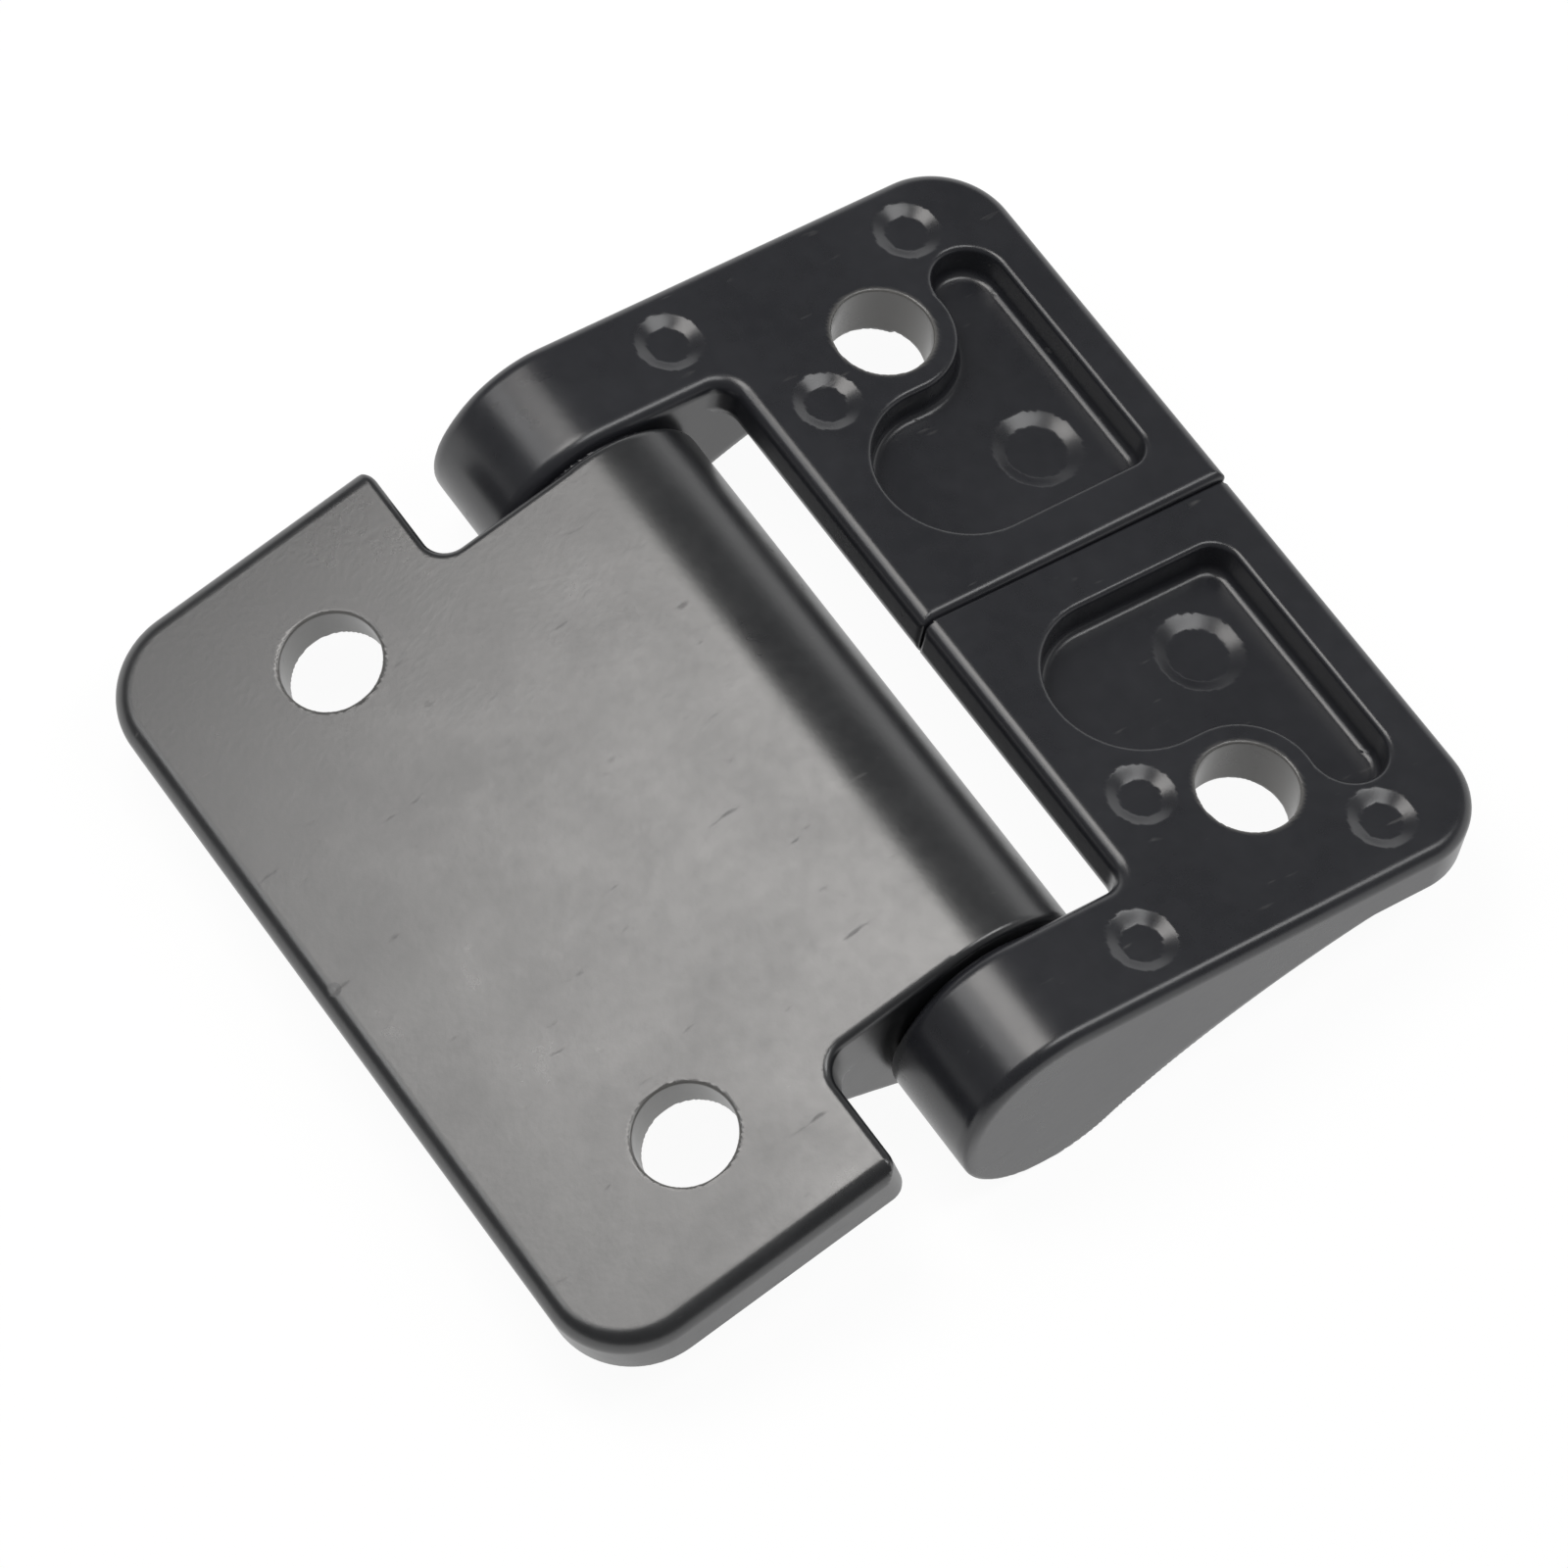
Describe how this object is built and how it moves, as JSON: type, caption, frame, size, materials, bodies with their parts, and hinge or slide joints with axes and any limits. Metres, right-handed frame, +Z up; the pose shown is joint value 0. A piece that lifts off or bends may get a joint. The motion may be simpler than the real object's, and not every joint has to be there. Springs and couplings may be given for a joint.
{
  "type": "door hinge",
  "caption": "Black die-cast door hinge: a T-shaped centre leaf pinned in the slot of a fork leaf that is cast as two mirrored halves.",
  "frame": {"origin": "on the level surface that the barrel touches, at the middle of the footprint, straight under the pin's axis", "axes": "+Y along the hinge pin, +X from the pin toward the fork leaf, +Z up; the centre leaf reaches toward -X and both leaves hang a little below level"},
  "size_m": [0.0675, 0.06, 0.0146],
  "materials": {
    "centre_leaf_coat": "black coat on zinc die casting, satin and a little rubbed on the broad face",
    "fork_coat": "glossy black coat on zinc die casting",
    "pin_steel": "plain ground steel, hidden in its bores"
  },
  "bodies": {
    "centre": {"centre_leaf": "centre_leaf_coat", "hinge_pin": "pin_steel"},
    "fork_far": {"fork_half_far": "fork_coat"},
    "fork_near": {"fork_half_near": "fork_coat"}
  },
  "joints": [
    {"name": "far_half_swing", "type": "hinge", "parent": "centre", "child": "fork_far", "pos_m": [0, 0.0259, 0.0073], "axis": [0, 1, 0], "range_deg": [-125, 158]},
    {"name": "near_half_swing", "type": "hinge", "parent": "centre", "child": "fork_near", "pos_m": [0, -0.0259, 0.0073], "axis": [0, 1, 0], "range_deg": [-126, 157]}
  ]
}
